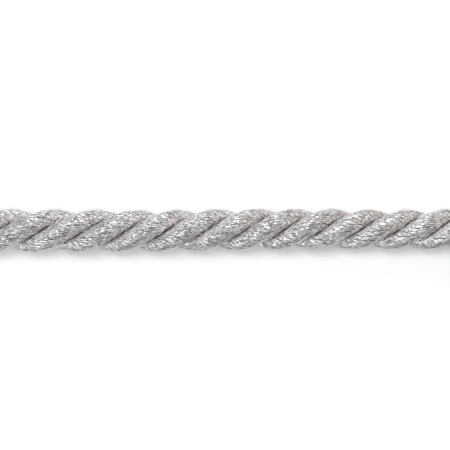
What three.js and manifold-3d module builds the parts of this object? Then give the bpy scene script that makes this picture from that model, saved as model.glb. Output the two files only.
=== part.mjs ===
// A cut length of three-strand twisted cord trim, lying straight on a flat surface.
// Millimetres: X runs along the cord from its middle, Z is up, and the cord rests on Z = 0.
import * as THREE from 'three';
import { mergeVertices } from 'three/addons/utils/BufferGeometryUtils.js';
import Module from 'manifold-3d';

// Driving sizes
const CORD_LENGTH = 120;
const CORD_DIAMETER = 9.5;
const STRAND_COUNT = 3;
const STRAND_WIDTH = 5.2; // of one strand where it is round, outside its pressed sides
const STRAND_GAP = 0.4; // between the pressed sides of neighbouring strands, across the cord
const FLAT_DEPTH = 0.3; // how far each strand is pressed flat where it rests on the surface

// How finely the round shapes are stepped
const ROUND_STEPS = 14;
const PRESSED_SIDE_STEPS = 4;
const STEPS_PER_TURN = 24;

// The cord is hand-laid uneven: one row for each section of it. crests counts the strands that have
// come over the cord's +Y edge, plump is the local share of the cord's diameter, and drift is how
// far the cord's middle line lies to the side.
const SECTIONS = [
  { along: -60.0, crests: -0.9, plump: 1.035, drift: -0.17 },
  { along: -51.0, crests: 0.0, plump: 1.035, drift: -0.17 },
  { along: -30.5, crests: 2.0, plump: 1.015, drift: -0.23 },
  { along: -11.5, crests: 4.0, plump: 1.005, drift: -0.22 },
  { along: 7.5, crests: 6.0, plump: 1.0, drift: 0.12 },
  { along: 25.5, crests: 8.0, plump: 0.975, drift: 0.2 },
  { along: 43.5, crests: 10.0, plump: 0.955, drift: 0.1 },
  { along: 60.0, crests: 11.83, plump: 0.985, drift: 0.24 },
];

const SILVER_YARN = { color: 0xb4b1b1, roughness: 0.45, metalness: 0.55 };

// A smooth curve through one column of the sections, as a function of the place along the cord
function smoothColumn(column) {
  const places = SECTIONS.map((row) => row.along);
  const values = SECTIONS.map((row) => row[column]);
  const curve = new THREE.CubicInterpolant(places, values, 1, [0]);
  return (along) => curve.evaluate(along)[0];
}

const crestsAt = smoothColumn('crests');
const plumpAt = smoothColumn('plump');
const driftAt = smoothColumn('drift');

// The outline of one strand across the cord: round where it bulges out, and pressed flat along the
// two sides that lie against its neighbours. x is out from the cord's middle line, y is round it.
function strandOutline() {
  const halfShare = Math.PI / STRAND_COUNT;
  const radius = STRAND_WIDTH / 2;
  const middle = CORD_DIAMETER / 2 - radius;
  const toSide = middle * Math.sin(halfShare) - STRAND_GAP / 2;
  const meeting = halfShare + Math.asin(toSide / radius); // where the round part meets a side
  const inner = new THREE.Vector2(STRAND_GAP / 2 / Math.sin(halfShare), 0);
  const outer = new THREE.Vector2(middle + radius * Math.cos(meeting), radius * Math.sin(meeting));
  const onSide = (step) => inner.clone().lerp(outer, step / PRESSED_SIDE_STEPS);
  const outline = new THREE.Shape();
  outline.moveTo(inner.x, inner.y);
  for (let step = 1; step < PRESSED_SIDE_STEPS; step++) {
    outline.lineTo(onSide(step).x, -onSide(step).y);
  }
  outline.absarc(middle, 0, radius, -meeting, meeting);
  for (let step = PRESSED_SIDE_STEPS - 1; step > 0; step--) {
    outline.lineTo(onSide(step).x, onSide(step).y);
  }
  return outline;
}

// One strand, first straight and then laid round the cord's middle line. The lay is left-handed:
// seen from above, the strands climb towards +Y as they run along +X.
function laidStrand(strand) {
  const turns = (crestsAt(CORD_LENGTH / 2) - crestsAt(-CORD_LENGTH / 2)) / STRAND_COUNT;
  const geometry = new THREE.ExtrudeGeometry(strandOutline(), {
    depth: CORD_LENGTH,
    steps: Math.round(turns * STEPS_PER_TURN),
    bevelEnabled: false,
    curveSegments: ROUND_STEPS / 2,
  });
  const points = geometry.getAttribute('position');
  for (let i = 0; i < points.count; i++) {
    const along = points.getZ(i) - CORD_LENGTH / 2;
    const plump = plumpAt(along);
    const outward = points.getX(i) * plump;
    const round = points.getY(i) * plump;
    const angle = (2 * Math.PI * (strand - crestsAt(along))) / STRAND_COUNT;
    const middleHeight = (CORD_DIAMETER / 2) * plump - FLAT_DEPTH;
    points.setXYZ(
      i,
      along,
      driftAt(along) + outward * Math.cos(angle) - round * Math.sin(angle),
      middleHeight + outward * Math.sin(angle) + round * Math.cos(angle),
    );
  }
  return geometry;
}

const wasm = await Module();
wasm.setup();

function toSolid(geometry) {
  geometry.deleteAttribute('normal');
  geometry.deleteAttribute('uv');
  const merged = mergeVertices(geometry, 1e-4);
  return new wasm.Manifold(
    new wasm.Mesh({
      numProp: 3,
      vertProperties: new Float32Array(merged.getAttribute('position').array),
      triVerts: new Uint32Array(merged.getIndex().array),
    }),
  );
}

function toGeometry(solid) {
  const mesh = solid.getMesh();
  const geometry = new THREE.BufferGeometry();
  geometry.setAttribute('position', new THREE.BufferAttribute(mesh.vertProperties, 3));
  geometry.setIndex(new THREE.BufferAttribute(mesh.triVerts, 1));
  geometry.computeVertexNormals();
  return geometry;
}

// What the surface presses away: everything below Z = 0
function belowSurface() {
  const spare = CORD_DIAMETER;
  const block = new THREE.BoxGeometry(CORD_LENGTH + 2 * spare, 2 * spare, spare);
  block.translate(0, 0, -spare / 2);
  return toSolid(block);
}

const cord = new THREE.Group();
const pressedAway = belowSurface();
for (let strand = 0; strand < STRAND_COUNT; strand++) {
  const geometry = toGeometry(toSolid(laidStrand(strand)).subtract(pressedAway));
  const mesh = new THREE.Mesh(geometry, new THREE.MeshStandardMaterial(SILVER_YARN));
  mesh.name = `strand_${strand + 1}`;
  cord.add(mesh);
}

export default cord;
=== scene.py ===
import math

import bmesh
import bpy
import numpy as np
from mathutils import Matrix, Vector


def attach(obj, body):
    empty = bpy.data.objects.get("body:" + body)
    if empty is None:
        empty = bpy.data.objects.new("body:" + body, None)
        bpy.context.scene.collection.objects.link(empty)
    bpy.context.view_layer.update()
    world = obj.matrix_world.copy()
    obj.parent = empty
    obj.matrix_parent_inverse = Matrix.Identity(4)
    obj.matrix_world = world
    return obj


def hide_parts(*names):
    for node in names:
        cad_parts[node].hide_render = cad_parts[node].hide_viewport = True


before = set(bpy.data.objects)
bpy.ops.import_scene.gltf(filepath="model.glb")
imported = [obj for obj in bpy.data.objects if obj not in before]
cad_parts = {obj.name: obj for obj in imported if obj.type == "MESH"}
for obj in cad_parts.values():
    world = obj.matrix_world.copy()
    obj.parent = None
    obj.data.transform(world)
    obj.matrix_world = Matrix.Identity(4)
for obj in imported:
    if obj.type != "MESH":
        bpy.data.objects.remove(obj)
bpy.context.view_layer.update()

# The camera looks straight down on the cord, as the photograph does: the cord runs across the
# whole picture, a little below its middle, and both cut ends are just out of the picture.
PHOTO_SIDE_PX = 450
CORD_AXIS_PX = 229.7  # the row of the picture that the cord's middle line is on
CORD_DIAMETER = 0.0095
CORD_DIAMETER_PX = 40.0
METRES_PER_PX = CORD_DIAMETER / CORD_DIAMETER_PX
LENS_MM = 100.0
SENSOR_MM = 36.0

camera_data = bpy.data.cameras.new("camera")
camera_data.lens = LENS_MM
camera_data.sensor_width = SENSOR_MM
camera = bpy.data.objects.new("camera", camera_data)
bpy.context.scene.collection.objects.link(camera)
bpy.context.scene.camera = camera
camera_distance = PHOTO_SIDE_PX * METRES_PER_PX * LENS_MM / SENSOR_MM
camera.location = (
    0.0,
    (CORD_AXIS_PX - PHOTO_SIDE_PX / 2) * METRES_PER_PX,
    CORD_DIAMETER / 2 + camera_distance,
)

# The lay of the cord: three strands laid together by hand, so it swells, thins and wanders a
# little. The rows give, for each section, how many strands have come over its +Y edge, its share of
# the full thickness and its drift to the side. It rests on the table, pressed a little flat there.
CORD_LENGTH = 0.120
STRANDS = 3
FLAT_DEPTH = 0.0003
SECTIONS = [
    {"along": -0.0600, "crests": -0.90, "plump": 1.035, "drift": -0.00017},
    {"along": -0.0510, "crests": 0.00, "plump": 1.035, "drift": -0.00017},
    {"along": -0.0305, "crests": 2.00, "plump": 1.015, "drift": -0.00023},
    {"along": -0.0115, "crests": 4.00, "plump": 1.005, "drift": -0.00022},
    {"along": 0.0075, "crests": 6.00, "plump": 1.000, "drift": 0.00012},
    {"along": 0.0255, "crests": 8.00, "plump": 0.975, "drift": 0.00020},
    {"along": 0.0435, "crests": 10.00, "plump": 0.955, "drift": 0.00010},
    {"along": 0.0600, "crests": 11.83, "plump": 0.985, "drift": 0.00024},
]


def smooth_column(column):
    """A smooth curve through one column of the sections, as a function of the place along the cord."""
    places = np.array([row["along"] for row in SECTIONS])
    values = np.array([row[column] for row in SECTIONS])
    slopes = np.diff(values) / np.diff(places)
    leans = np.concatenate([slopes[:1], (slopes[1:] + slopes[:-1]) / 2, slopes[-1:]])

    def at(along):
        i = np.clip(np.searchsorted(places, along) - 1, 0, len(places) - 2)
        span = places[i + 1] - places[i]
        t = (along - places[i]) / span
        from_start = (2 * t**3 - 3 * t**2 + 1) * values[i] + (t**3 - 2 * t**2 + t) * span * leans[i]
        from_end = (3 * t**2 - 2 * t**3) * values[i + 1] + (t**3 - t**2) * span * leans[i + 1]
        return from_start + from_end

    return at


crests_at = smooth_column("crests")
plump_at = smooth_column("plump")
drift_at = smooth_column("drift")


def strand_angle(along, strand):
    """Which way a strand lies from the cord's middle line."""
    return 2 * math.pi * (strand - crests_at(along)) / STRANDS


def middle_height(along):
    return CORD_DIAMETER / 2 * plump_at(along) - FLAT_DEPTH


def laid(along, strand, outward, around, clearance):
    """Points of one strand, given outward from the cord's middle line and around it, once the
    strands are laid together. Nothing comes nearer to the table than the clearance."""
    angle = strand_angle(along, strand)
    out = outward * plump_at(along)
    side = around * plump_at(along)
    across = drift_at(along) + out * np.cos(angle) - side * np.sin(angle)
    height = middle_height(along) + out * np.sin(angle) + side * np.cos(angle)
    return np.stack([along, across, np.maximum(height, clearance)], axis=1)


# The three strands: each is a fat soft bundle of fine metallic yarns, twisted against the lay, with
# one layer of them in sight over a core of the same yarn. It is round outside, pressed flat against
# its two neighbours, a little frayed all along, and cut off square at both ends.
STRAND_WIDTH = 0.0052
PRESSED_GAP = 0.00028
PRESSED_CORNER = 9  # the higher, the sharper the strand's corners between round and flat

YARNS = 28
YARN_RADIUS = 0.00052
YARN_ROUNDNESS = 1
YARN_PROUD = 0.0001  # how far the yarns' backs stand out of the strand's plain outline
YARN_TURNS_PER_LAY = 1.61  # of a yarn round its strand, against the lay
YARN_STEPS = 400
YARN_WANDER = {
    "place": {"amount": 0.055, "wave": 0.020},  # radians round the strand
    "inset": {"amount": 0.00002, "wave": 0.012},
    "thickness": {"amount": 0.08, "wave": 0.006},  # as a share
}
WAVE_SHARES = (1.0, 0.6, 0.35)

END_UNEVEN = 0.0004  # how far out of line the yarns' cut ends are
CUT_IN_SIGHT = 0.0012  # how far in from a cut the yarns are seen from their ends
CUT_FADE = 0.0006
YARN_TOP = 1.02  # the yarns' backs, as a share of the strand's plain outline
STUB_LENGTH = 0.003  # of the inner yarns, which only show on the cut
STUB_STEPS = 12
STUB_RINGS = [
    {"share": 0.76, "yarns": 21},
    {"share": 0.53, "yarns": 15},
    {"share": 0.30, "yarns": 8},
    {"share": 0.06, "yarns": 2},
]

CORE_RADIUS = 0.00145
CORE_ROUNDNESS = 4
CORE_STEPS = 160
CORE_FROM_END = 0.001

FIBRES = 1050
FIBRE_RADIUS = 0.00003
FIBRE_ROUNDNESS = 0
FIBRE_STEPS = 5
FIBRE_OPEN_ARC = 1.7  # radians each way from straight out, where a strand isn't pressed
FIBRE_START = (-0.5, 0.48)  # as a share of the cord's length
FIBRE_REACH = (0.0008, 0.0022)  # along the cord
FIBRE_SWERVE = (-0.5, 0.5)  # radians round the strand
FIBRE_LIFT = (0.0001, 0.0008)

strand_middle = CORD_DIAMETER / 2 - STRAND_WIDTH / 2
to_side = strand_middle * math.sin(math.pi / STRANDS) - PRESSED_GAP / 2
side_facing = math.pi / 2 + math.pi / STRANDS
chance = np.random.default_rng(17)


def outline_at(place):
    """How far a strand's plain outline is from its middle, in each direction round it."""
    turned_from_out = np.abs(np.arctan2(np.sin(place), np.cos(place)))
    facing_side = np.maximum(np.cos(turned_from_out - side_facing), 0.0)
    round_part = (2 / STRAND_WIDTH) ** PRESSED_CORNER
    flat_part = (facing_side / to_side) ** PRESSED_CORNER
    return (round_part + flat_part) ** (-1 / PRESSED_CORNER)


def in_bundle(along, strand, place, from_middle, clearance):
    """Points of one strand, given by their direction round its middle and their distance from it."""
    outward = strand_middle + from_middle * np.cos(place)
    around = from_middle * np.sin(place)
    return laid(along, strand, outward, around, clearance)


def twist_at(along):
    """How far the yarns have turned round their strand."""
    return 2 * math.pi * YARN_TURNS_PER_LAY * crests_at(along) / STRANDS


def slow_wander(along, amount, wave):
    """An uneven wander along a yarn: a sum of three slow waves of about that length."""
    total = np.zeros_like(along)
    for share in WAVE_SHARES:
        length = wave * share * chance.uniform(0.8, 1.25)
        total += share * np.sin(2 * math.pi * along / length + chance.uniform(0, 2 * math.pi))
    return amount * total / sum(WAVE_SHARES)


class Threads:
    """Round threads, made one closed mesh. Its UV map runs in millimetres along each thread, and
    once round it, with the threads' numbers added."""

    UV_SHIFT_MM = 7.3  # from each thread to the next, so that their patterns differ

    def __init__(self, name, radius, roundness):
        self.curve = bpy.data.curves.new(name, "CURVE")
        self.curve.dimensions = "3D"
        self.curve.bevel_depth = radius
        self.curve.bevel_resolution = roundness
        self.curve.use_fill_caps = True
        self.sides = 4 + 2 * roundness
        self.steps = []
        self.lengths_mm = []

    def add(self, points, thickness):
        spline = self.curve.splines.new("POLY")
        spline.points.add(len(points) - 1)
        spline.points.foreach_set("co", np.hstack([points, np.ones((len(points), 1))]).ravel())
        spline.points.foreach_set("radius", thickness)
        self.steps.append(len(points) - 1)
        self.lengths_mm.append(np.linalg.norm(np.diff(points, axis=0), axis=1).sum() * 1000)

    def mesh(self):
        holder = bpy.data.objects.new(self.curve.name, self.curve)
        mesh = bpy.data.meshes.new_from_object(holder)
        bpy.data.objects.remove(holder)
        bpy.data.curves.remove(self.curve)
        numbers = np.arange(len(self.steps))
        on_caps = np.repeat(numbers, 2 * (self.sides - 2))
        on_sides = np.repeat(numbers, np.array(self.steps) * self.sides)
        thread_of_face = np.concatenate([on_caps, on_sides])
        corners = np.empty(len(mesh.polygons), int)
        mesh.polygons.foreach_get("loop_total", corners)
        thread = np.repeat(thread_of_face, corners)
        uv = np.empty(len(mesh.loops) * 2)
        mesh.uv_layers[0].data.foreach_get("uv", uv)
        uv = uv.reshape(-1, 2)
        uv[:, 0] = uv[:, 0] * np.array(self.lengths_mm)[thread] + thread * self.UV_SHIFT_MM
        uv[:, 1] += thread
        mesh.uv_layers[0].data.foreach_set("uv", uv.ravel())
        return mesh


def yarns_of(strand):
    threads = Threads(f"yarns_{strand + 1}", YARN_RADIUS, YARN_ROUNDNESS)
    for yarn in range(YARNS):
        start = -CORD_LENGTH / 2 + chance.uniform(-END_UNEVEN, END_UNEVEN)
        end = CORD_LENGTH / 2 + chance.uniform(-END_UNEVEN, END_UNEVEN)
        along = np.linspace(start, end, YARN_STEPS)
        place = 2 * math.pi * (yarn / YARNS) + twist_at(along)
        place += slow_wander(along, **YARN_WANDER["place"])
        inset = YARN_RADIUS - YARN_PROUD + slow_wander(along, **YARN_WANDER["inset"])
        thickness = plump_at(along) * (1.0 + slow_wander(along, **YARN_WANDER["thickness"]))
        from_middle = outline_at(place) - inset
        points = in_bundle(along, strand, place, from_middle, YARN_RADIUS * thickness)
        threads.add(points, thickness)
    for ring in STUB_RINGS:
        for yarn in range(ring["yarns"]):
            for end in (-1, 1):
                outer = end * (CORD_LENGTH / 2 + chance.uniform(-END_UNEVEN, END_UNEVEN))
                along = np.linspace(outer - end * STUB_LENGTH, outer, STUB_STEPS)
                place = 2 * math.pi * (yarn / ring["yarns"]) + twist_at(along)
                from_middle = outline_at(place) * ring["share"]
                points = in_bundle(along, strand, place, from_middle, YARN_RADIUS)
                threads.add(points, plump_at(along))
    return threads.mesh()


def core_of(strand):
    threads = Threads(f"core_{strand + 1}", CORE_RADIUS, CORE_ROUNDNESS)
    end = CORD_LENGTH / 2 - CORE_FROM_END
    along = np.linspace(-end, end, CORE_STEPS)
    in_middle = np.zeros(CORE_STEPS)
    points = in_bundle(along, strand, in_middle, in_middle, CORE_RADIUS)
    threads.add(points, plump_at(along))
    return threads.mesh()


def fibres_of(strand):
    """Stray fibres that stand off the yarns, as arcs with one end or both ends in the strand."""
    threads = Threads(f"fibres_{strand + 1}", FIBRE_RADIUS, FIBRE_ROUNDNESS)
    run = np.linspace(0, 1, FIBRE_STEPS)
    for _ in range(FIBRES):
        start = chance.uniform(*FIBRE_START) * CORD_LENGTH
        along = start + run * chance.uniform(*FIBRE_REACH)
        place = chance.uniform(-FIBRE_OPEN_ARC, FIBRE_OPEN_ARC) + run * chance.uniform(*FIBRE_SWERVE)
        lift = chance.uniform(*FIBRE_LIFT) * np.sin(math.pi * run * chance.uniform(0.5, 1.0))
        points = in_bundle(along, strand, place, outline_at(place) + lift, FIBRE_RADIUS)
        threads.add(points, np.ones(FIBRE_STEPS))
    return threads.mesh()


def rise_and_turn(points, strand):
    """How far out of its strand each point lies, 1 on the strand's plain outline and less inside
    it, and how many degrees round it from straight out of the cord. The cut ends count as outside."""
    along = points[:, 0]
    angle = strand_angle(along, strand)
    across = points[:, 1] - drift_at(along)
    height = points[:, 2] - middle_height(along)
    out = (across * np.cos(angle) + height * np.sin(angle)) / plump_at(along) - strand_middle
    side = (height * np.cos(angle) - across * np.sin(angle)) / plump_at(along)
    place = np.arctan2(side, out)
    from_cut = CORD_LENGTH / 2 - np.abs(along)
    in_sight = np.clip((CUT_IN_SIGHT - from_cut) / CUT_FADE, 0.0, 1.0)
    rise = np.hypot(out, side) / outline_at(place)
    rise += in_sight * np.maximum(YARN_TOP - rise, 0.0)
    return rise, np.degrees(np.abs(place)) * (1.0 - in_sight)


class Dye:
    """A socket in a material. Arithmetic on it adds Math nodes, and node() adds any other node."""

    def __init__(self, tree, socket=None):
        self.tree = tree
        self.socket = socket

    def node(self, kind, settings, inputs, output=0):
        made = self.tree.nodes.new(kind)
        for name, value in settings.items():
            if name == "stops":
                ramp = made.color_ramp
                ramp.elements[1].position, ramp.elements[1].color = value[-1]
                ramp.elements[0].position, ramp.elements[0].color = value[0]
                for position, colour in value[1:-1]:
                    ramp.elements.new(position).color = colour
            else:
                setattr(made, name, value)
        for name, value in inputs.items():
            if isinstance(value, Dye):
                self.tree.links.new(value.socket, made.inputs[name])
            else:
                made.inputs[name].default_value = value
        return Dye(self.tree, made.outputs[output])

    def math(self, operation, *values):
        return self.node("ShaderNodeMath", {"operation": operation}, dict(enumerate(values)))

    def __add__(self, other):
        return self.math("ADD", self, other)

    def __radd__(self, other):
        return self.math("ADD", other, self)

    def __sub__(self, other):
        return self.math("SUBTRACT", self, other)

    def __rsub__(self, other):
        return self.math("SUBTRACT", other, self)

    def __mul__(self, other):
        return self.math("MULTIPLY", self, other)

    def __rmul__(self, other):
        return self.math("MULTIPLY", other, self)

    def __truediv__(self, other):
        return self.math("DIVIDE", self, other)

    def ramp(self, stops):
        return self.node("ShaderNodeValToRGB", {"stops": stops}, {0: self})

    def mix(self, low, high):
        """The colour low where this is 0, and high where it is 1."""
        inputs = {0: self, 6: low, 7: high}
        return self.node("ShaderNodeMix", {"data_type": "RGBA"}, inputs, output=2)

    def times(self, other):
        """This colour multiplied by another one."""
        settings = {"data_type": "RGBA", "blend_type": "MULTIPLY"}
        return self.node("ShaderNodeMix", settings, {0: 1.0, 6: self, 7: other}, output=2)


# The silver yarn: two plies twisted together, one wrapped with flat bright film, one of matt grey
# thread. Its UV map runs in millimetres along the yarn, and in yarns, counted round the strand.
PLY_PITCH_MM = 4.2
PLY_PAIRS = 2
PLY_EDGE = 1.5  # the higher, the sharper the step from one ply to the other
PLY_SOFTNESS = 0.1
PLY_WOBBLE = 0.8
WOBBLES_PER_MM = 0.7
STREAKS_PER_MM = (2.0, 7.0, 1.0)  # along the yarn, and for each yarn round it
STREAK_RELIEF = 0.7  # of the streaks, against that of the plies
RELIEF_DEPTH = 0.00008
RELIEF_STRENGTH = 0.45
FILM = (0.755, 0.77, 0.797, 1.0)
FILM_METAL = 0.82
FILM_ROUGHNESS = 0.43
THREAD = (0.398, 0.37, 0.365, 1.0)
THREAD_ROUGHNESS = 0.6
STREAK_TONES = [
    (0.36, (0.38, 0.38, 0.38, 1.0)),
    (0.50, (0.86, 0.86, 0.86, 1.0)),
    (0.62, (1.26, 1.26, 1.26, 1.0)),
]
PAINTED_CREASE_SHADE_TONES = [  # by half the rise: painted shade, dark in the creases between yarns and none on the yarns' backs
    (0.501, (0.36, 0.345, 0.345, 1.0)),
    (0.511, (1.0, 1.0, 1.0, 1.0)),
]
PAINTED_GROOVE_SHADE_TONES = [  # by half turns from straight out: painted shade where neighbouring strands press, first a faint pink as painted reflected light, then dark
    (0.25, (1.0, 1.0, 1.0, 1.0)),
    (0.42, (1.0, 0.955, 0.95, 1.0)),
    (0.49, (1.0, 0.95, 0.945, 1.0)),
    (0.56, (0.48, 0.46, 0.455, 1.0)),
]
CAST_TONES = [  # a trace cooler at the cord's left end and warmer at the right
    (0.1, (0.988, 1.0, 1.015, 1.0)),
    (0.9, (1.0, 1.0, 0.975, 1.0)),
]


def silver_yarn():
    material = bpy.data.materials.new("silver_yarn")
    material.use_nodes = True
    tree = material.node_tree
    surface = tree.nodes["Principled BSDF"]
    start = Dye(tree)
    uv = start.node("ShaderNodeTexCoord", {}, {}, output="UV")
    along = start.node("ShaderNodeSeparateXYZ", {}, {0: uv}, output="X")
    place = start.node("ShaderNodeSeparateXYZ", {}, {0: uv}, output="Y")
    wobble = start.node(
        "ShaderNodeTexNoise", {}, {"Vector": uv, "Scale": WOBBLES_PER_MM, "Detail": 1.0}
    )
    twist = along / PLY_PITCH_MM - place + wobble * PLY_WOBBLE
    lie = twist.math("SINE", twist * (2 * math.pi * PLY_PAIRS))
    not_below = lie.math("SMOOTH_MAX", 0.5 + lie * PLY_EDGE, 0.0, PLY_SOFTNESS)
    is_film = lie.math("SMOOTH_MIN", not_below, 1.0, PLY_SOFTNESS)
    stretched = start.node("ShaderNodeMapping", {}, {"Vector": uv, "Scale": STREAKS_PER_MM})
    streaks = start.node(
        "ShaderNodeTexNoise", {}, {"Vector": stretched, "Scale": 1.0, "Detail": 2.0, "Roughness": 0.7}
    )
    rise = start.node("ShaderNodeAttribute", {"attribute_name": "rise"}, {}, output="Fac")
    turn = start.node("ShaderNodeAttribute", {"attribute_name": "turn"}, {}, output="Fac")
    on_cord = start.node("ShaderNodeTexCoord", {}, {}, output="Object")
    along_cord = start.node("ShaderNodeSeparateXYZ", {}, {0: on_cord}, output="X")
    colour = is_film.mix(THREAD, FILM).times(streaks.ramp(STREAK_TONES))
    # Painted shade: the yarns' colour is darkened in the creases between them, where the rise is low.
    colour = colour.times((rise / 2.0).ramp(PAINTED_CREASE_SHADE_TONES))
    colour = colour.times((along_cord / CORD_LENGTH + 0.5).ramp(CAST_TONES))
    # Painted shade in the grooves where the strands press together, tinted pink before it turns dark.
    colour = colour.times((turn / 180.0).ramp(PAINTED_GROOVE_SHADE_TONES))
    relief = start.node(
        "ShaderNodeBump",
        {},
        {
            "Strength": RELIEF_STRENGTH,
            "Distance": RELIEF_DEPTH,
            "Height": is_film + streaks * STREAK_RELIEF,
        },
    )
    roughness = THREAD_ROUGHNESS - is_film * (THREAD_ROUGHNESS - FILM_ROUGHNESS)
    tree.links.new(colour.socket, surface.inputs["Base Color"])
    tree.links.new((is_film * FILM_METAL).socket, surface.inputs["Metallic"])
    tree.links.new(roughness.socket, surface.inputs["Roughness"])
    tree.links.new(relief.socket, surface.inputs["Normal"])
    return material


# The same yarn where its fibres' ends show: light and dark specks on the cut, and painted shade, near
# black, on the core between the yarns. Stray fibres are single slivers of the film, so they have one
# plain colour.
SPECKLES_PER_METRE = 7000.0
SPECKLE_CONTRAST = 2.5
FIBRE_ENDS_ROUGHNESS = 0.7
# The core's colours are painted shade: the core is the same yarn, kept near black where it shows
# between the yarns.
CORE_PAINTED_SHADE_DARK = (0.06, 0.058, 0.058, 1.0)
CORE_PAINTED_SHADE_LIGHT = (0.16, 0.155, 0.155, 1.0)
CUT_DARK = (0.16, 0.155, 0.155, 1.0)
CUT_LIGHT = (0.62, 0.62, 0.63, 1.0)
STRAY_FIBRE = (0.80, 0.80, 0.81, 1.0)
STRAY_FIBRE_ROUGHNESS = 0.45


def fibre_ends_and_painted_shade(name, dark, light):
    material = bpy.data.materials.new(name)
    material.use_nodes = True
    tree = material.node_tree
    surface = tree.nodes["Principled BSDF"]
    start = Dye(tree)
    place = start.node("ShaderNodeTexCoord", {}, {}, output="Object")
    speckle = start.node("ShaderNodeTexNoise", {}, {"Vector": place, "Scale": SPECKLES_PER_METRE})
    colour = ((speckle - 0.5) * SPECKLE_CONTRAST + 0.5).mix(dark, light)
    tree.links.new(colour.socket, surface.inputs["Base Color"])
    surface.inputs["Roughness"].default_value = FIBRE_ENDS_ROUGHNESS
    return material


def stray_fibre():
    material = bpy.data.materials.new("stray_fibre")
    material.use_nodes = True
    surface = material.node_tree.nodes["Principled BSDF"]
    surface.inputs["Base Color"].default_value = STRAY_FIBRE
    surface.inputs["Roughness"].default_value = STRAY_FIBRE_ROUGHNESS
    return material


# Each strand is put together from its yarns, its core and its stray fibres, and takes the place of
# its plain solid. All three lie free as one cord, bare at both ends.
YARN_SLOT = 0
CORE_SLOT = 1
FIBRE_SLOT = 2
CUT_SLOT = 3

strand_materials = [
    silver_yarn(),
    # the core, near black as painted shade
    fibre_ends_and_painted_shade("strand_core_painted_shade", CORE_PAINTED_SHADE_DARK, CORE_PAINTED_SHADE_LIGHT),
    stray_fibre(),
    fibre_ends_and_painted_shade("cut_yarn", CUT_DARK, CUT_LIGHT),
]
for strand in range(STRANDS):
    whole = bmesh.new()
    faces_before = 0
    parts = {YARN_SLOT: yarns_of(strand), CORE_SLOT: core_of(strand), FIBRE_SLOT: fibres_of(strand)}
    for slot, part in parts.items():
        whole.from_mesh(part)
        whole.faces.ensure_lookup_table()
        for face in whole.faces[faces_before:]:
            on_side = len(face.verts) == 4
            face.smooth = on_side
            face.material_index = CUT_SLOT if slot == YARN_SLOT and not on_side else slot
        faces_before = len(whole.faces)
    bmesh.ops.remove_doubles(whole, verts=whole.verts, dist=1e-7)
    mesh = bpy.data.meshes.new(f"yarn_strand_{strand + 1}")
    whole.to_mesh(mesh)
    whole.free()
    points = np.empty(len(mesh.vertices) * 3)
    mesh.vertices.foreach_get("co", points)
    for name, values in zip(("rise", "turn"), rise_and_turn(points.reshape(-1, 3), strand)):
        mesh.attributes.new(name, "FLOAT", "POINT").data.foreach_set("value", values)
    for material in strand_materials:
        mesh.materials.append(material)
    piece = bpy.data.objects.new(mesh.name, mesh)
    bpy.context.scene.collection.objects.link(piece)
    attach(piece, "root")
    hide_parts(f"strand_{strand + 1}")

ROUTE_POINTS = 25
route = [
    (along, float(drift_at(along)), float(middle_height(along)))
    for along in np.linspace(-CORD_LENGTH / 2, CORD_LENGTH / 2, ROUTE_POINTS)
]

# The table top is plain, white and matt, and a little over-exposed, so that only the cord's soft
# shadow shows on it.
TABLE_SIDE = 4.0
TABLE_WHITE = (0.95, 0.95, 0.95, 1.0)
TABLE_ROUGHNESS = 0.7

table_mesh = bpy.data.meshes.new("table_top")
table_shape = bmesh.new()
bmesh.ops.create_grid(table_shape, x_segments=1, y_segments=1, size=TABLE_SIDE / 2)
table_shape.to_mesh(table_mesh)
table_shape.free()
table_material = bpy.data.materials.new("white_table")
table_material.use_nodes = True
table_surface = table_material.node_tree.nodes["Principled BSDF"]
table_surface.inputs["Base Color"].default_value = TABLE_WHITE
table_surface.inputs["Roughness"].default_value = TABLE_ROUGHNESS
table_mesh.materials.append(table_material)
table = bpy.data.objects.new("table_top", table_mesh)
bpy.context.scene.collection.objects.link(table)

# Soft studio light, mostly from above and behind the cord and from the front left, with weaker
# warm lights between. around is counted from +X towards +Y, up from the table, both in degrees.
LIGHT_DISTANCE = 0.7
LIGHTS = [
    {"around": 120, "up": 71, "side": 0.28, "watts": 2.02, "colour": (0.855, 0.965, 0.995)},
    {"around": 150, "up": 60, "side": 0.30, "watts": 0.53, "colour": (1.0, 0.75, 0.71)},
    {"around": 30, "up": 60, "side": 0.30, "watts": 0.49, "colour": (1.0, 0.92, 0.80)},
    {"around": 45, "up": 38, "side": 0.30, "watts": 0.57, "colour": (1.0, 0.69, 0.65)},
    {"around": 0, "up": 38, "side": 0.30, "watts": 0.87, "colour": (0.94, 1.0, 0.94)},
    {"around": 225, "up": 38, "side": 0.30, "watts": 2.46, "colour": (0.965, 0.98, 0.99)},
    {"around": 270, "up": 38, "side": 0.30, "watts": 0.48, "colour": (1.0, 0.85, 0.85)},
    {"around": 90, "up": 25, "side": 0.30, "watts": 3.45, "colour": (0.945, 0.97, 0.96)},
]
SKY = (1.0, 0.98, 0.98, 1.0)
SKY_STRENGTH = 0.05

for row in LIGHTS:
    around = math.radians(row["around"])
    up = math.radians(row["up"])
    toward = Vector((math.cos(up) * math.cos(around), math.cos(up) * math.sin(around), math.sin(up)))
    light_data = bpy.data.lights.new("soft_light", "AREA")
    light_data.size = row["side"]
    light_data.energy = row["watts"]
    light_data.color = row["colour"]
    light = bpy.data.objects.new("soft_light", light_data)
    light.location = toward * LIGHT_DISTANCE
    light.rotation_euler = (-toward).to_track_quat("-Z", "Y").to_euler()
    bpy.context.scene.collection.objects.link(light)

world = bpy.data.worlds.new("studio")
world.use_nodes = True
world.node_tree.nodes["Background"].inputs["Color"].default_value = SKY
world.node_tree.nodes["Background"].inputs["Strength"].default_value = SKY_STRENGTH
bpy.context.scene.world = world
bpy.context.scene.view_settings.view_transform = "Standard"
